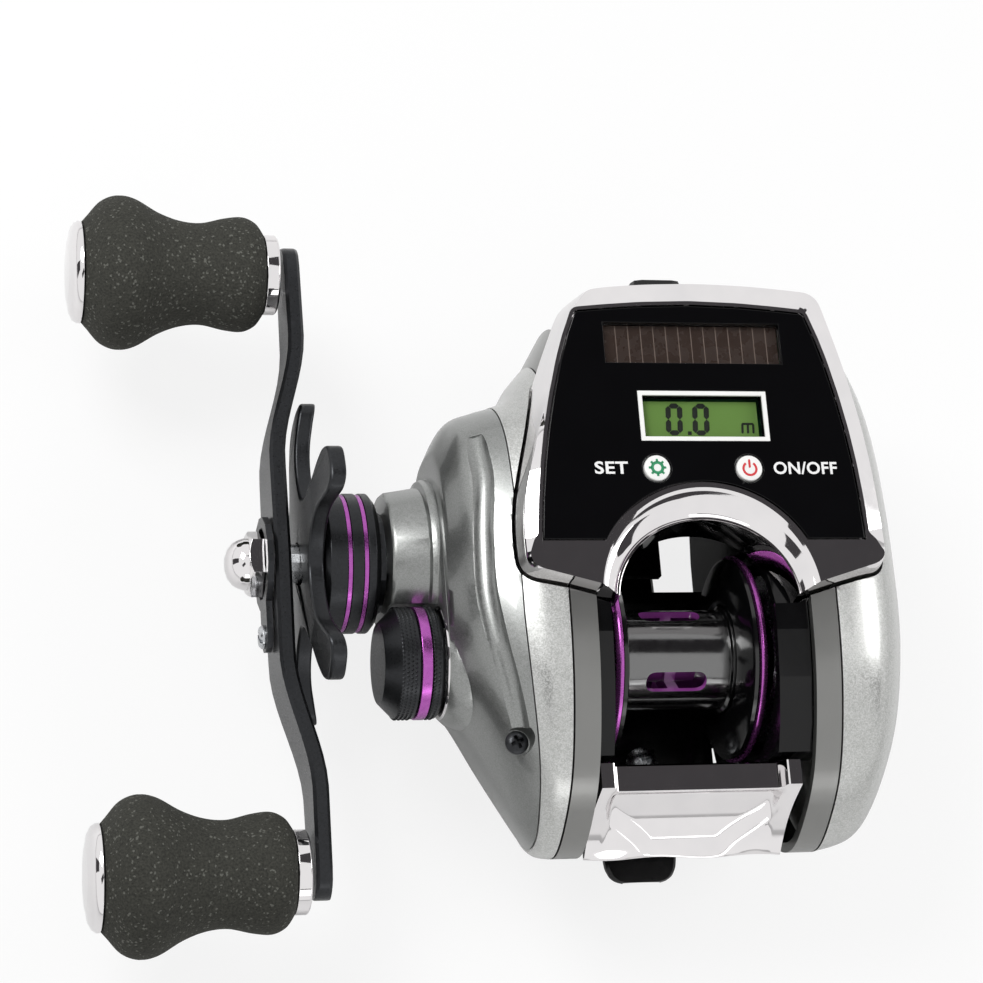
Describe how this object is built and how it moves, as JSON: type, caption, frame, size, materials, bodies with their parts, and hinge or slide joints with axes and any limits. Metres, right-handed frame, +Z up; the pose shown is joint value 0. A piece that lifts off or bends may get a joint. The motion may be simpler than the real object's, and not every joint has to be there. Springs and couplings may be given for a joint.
{
  "type": "baitcasting fishing reel",
  "caption": "Low-profile baitcasting reel cranked from the left, with double knobs, star drag, thumb bar, level wind and a solar digital line counter in its top cover.",
  "frame": {"origin": "middle of the reel foot's flat underside, where it seats on a rod", "axes": "+X along the spool axis toward the palm side, crank on -X; +Y forward, where the line leaves; +Z up from the foot"},
  "size_m": [0.1316, 0.1252, 0.055],
  "materials": {
    "graphite": "satin black frame",
    "gunmetal": "metallic grey with fine flake",
    "pale_metal": "light metallic grey with fine flake",
    "chrome": "bright chrome",
    "black_lens": "glossy black",
    "black_metal": "black anodised, semi-gloss",
    "purple": "purple anodised",
    "black_spool": "gloss black anodised",
    "steel": "machined steel",
    "brass": "cut brass",
    "carbon": "carbon fibre washer",
    "foam": "closed-cell foam, dark grey-green",
    "ceramic": "polished dark ceramic",
    "white": "white plastic",
    "lcd": "pale green liquid crystal",
    "solar": "brown amorphous solar cell",
    "board": "green circuit board"
  },
  "bodies": {
    "frame": {"main_frame": "graphite", "reel_foot": "graphite", "foot_screw_1": "steel", "foot_screw_2": "steel", "rim_left": "gunmetal", "rim_right": "gunmetal", "gear_side_plate": "gunmetal", "plate_screw": "black_metal", "palm_side_plate": "pale_metal", "brake_housing": "graphite", "magnet_ring": "steel", "top_hood": "chrome", "display_lens": "black_lens", "display_tray": "graphite", "solar_cell": "solar", "display_frame": "white", "display_glass": "lcd", "circuit_board": "board", "bearing_left": "steel", "bearing_right": "steel", "clutch_yoke": "graphite", "clutch_bearing": "steel", "guide_rod": "steel"},
    "crank": {"drive_shaft": "steel", "drive_gear": "brass", "drag_washer": "carbon", "pressure_plate": "steel", "levelwind_drive_gear": "brass", "shaft_spacer": "black_metal", "handle_arm": "black_metal", "handle_nut": "chrome", "nut_retainer": "black_metal"},
    "star": {"star_drag": "black_metal", "drag_barrel": "black_metal", "drag_line_1": "purple", "drag_line_2": "purple"},
    "front_knob": {"knob_collar_front": "chrome", "knob_grip_front": "foam", "knob_cap_front": "chrome"},
    "rear_knob": {"knob_collar_rear": "chrome", "knob_grip_rear": "foam", "knob_cap_rear": "chrome"},
    "spool": {"spool": "black_spool", "spool_flange_left": "black_spool", "spool_flange_right": "black_spool", "spool_rim_left": "purple", "spool_rim_right": "purple", "spool_shaft": "steel", "pinion_gear": "brass"},
    "idler": {"idler_gear": "white"},
    "worm": {"worm_gear": "brass", "worm_shaft": "steel"},
    "guide": {"line_guide": "graphite", "guide_eye": "ceramic"},
    "cast_control": {"tension_knob": "black_metal", "tension_band": "purple"},
    "dial": {"brake_dial": "black_metal"},
    "thumb_lever": {"thumb_bar": "chrome"},
    "set_key": {"set_button": "white"},
    "power_key": {"power_button": "white"}
  },
  "joints": [
    {"name": "crank_turn", "type": "hinge", "parent": "frame", "child": "crank", "pos_m": [-0.03, 0.01822, 0.0196], "axis": [1, 0, 0], "continuous": true},
    {"name": "spool_turn", "type": "hinge", "parent": "frame", "child": "spool", "pos_m": [0, 0, 0.025], "axis": [1, 0, 0], "continuous": true},
    {"name": "idler_turn", "type": "hinge", "parent": "frame", "child": "idler", "pos_m": [-0.0171, 0.03068, 0.0186], "axis": [1, 0, 0], "continuous": true},
    {"name": "worm_turn", "type": "hinge", "parent": "frame", "child": "worm", "pos_m": [0, 0.04085, 0.016], "axis": [1, 0, 0], "continuous": true},
    {"name": "star_turn", "type": "hinge", "parent": "crank", "child": "star", "pos_m": [-0.05, 0.01822, 0.0196], "axis": [1, 0, 0], "range_deg": [-360, 360]},
    {"name": "front_knob_turn", "type": "hinge", "parent": "crank", "child": "front_knob", "pos_m": [-0.075, 0.06822, 0.0196], "axis": [1, 0, 0], "continuous": true},
    {"name": "rear_knob_turn", "type": "hinge", "parent": "crank", "child": "rear_knob", "pos_m": [-0.075, -0.03178, 0.0196], "axis": [1, 0, 0], "continuous": true},
    {"name": "guide_slide", "type": "slide", "parent": "frame", "child": "guide", "axis": [1, 0, 0], "range_m": [-0.0122, 0.0042]},
    {"name": "cast_control_turn", "type": "hinge", "parent": "frame", "child": "cast_control", "pos_m": [-0.042, 0, 0.025], "axis": [1, 0, 0], "range_deg": [-360, 360]},
    {"name": "dial_turn", "type": "hinge", "parent": "frame", "child": "dial", "pos_m": [0.038, 0.01, 0.023], "axis": [1, 0, 0], "range_deg": [0, 270]},
    {"name": "thumb_press", "type": "slide", "parent": "frame", "child": "thumb_lever", "axis": [0, 0, -1], "range_m": [0, 0.004]},
    {"name": "set_press", "type": "slide", "parent": "frame", "child": "set_key", "axis": [0, 0, -1], "range_m": [0, 0.0004], "stiffness_N_per_m": 400},
    {"name": "power_press", "type": "slide", "parent": "frame", "child": "power_key", "axis": [0, 0, -1], "range_m": [0, 0.0004], "stiffness_N_per_m": 400}
  ],
  "couplings": [
    {"joint": "spool_turn", "follows": "crank_turn", "ratio": -5.3333},
    {"joint": "idler_turn", "follows": "crank_turn", "ratio": -1.0833},
    {"joint": "worm_turn", "follows": "crank_turn", "ratio": 1.4444}
  ]
}
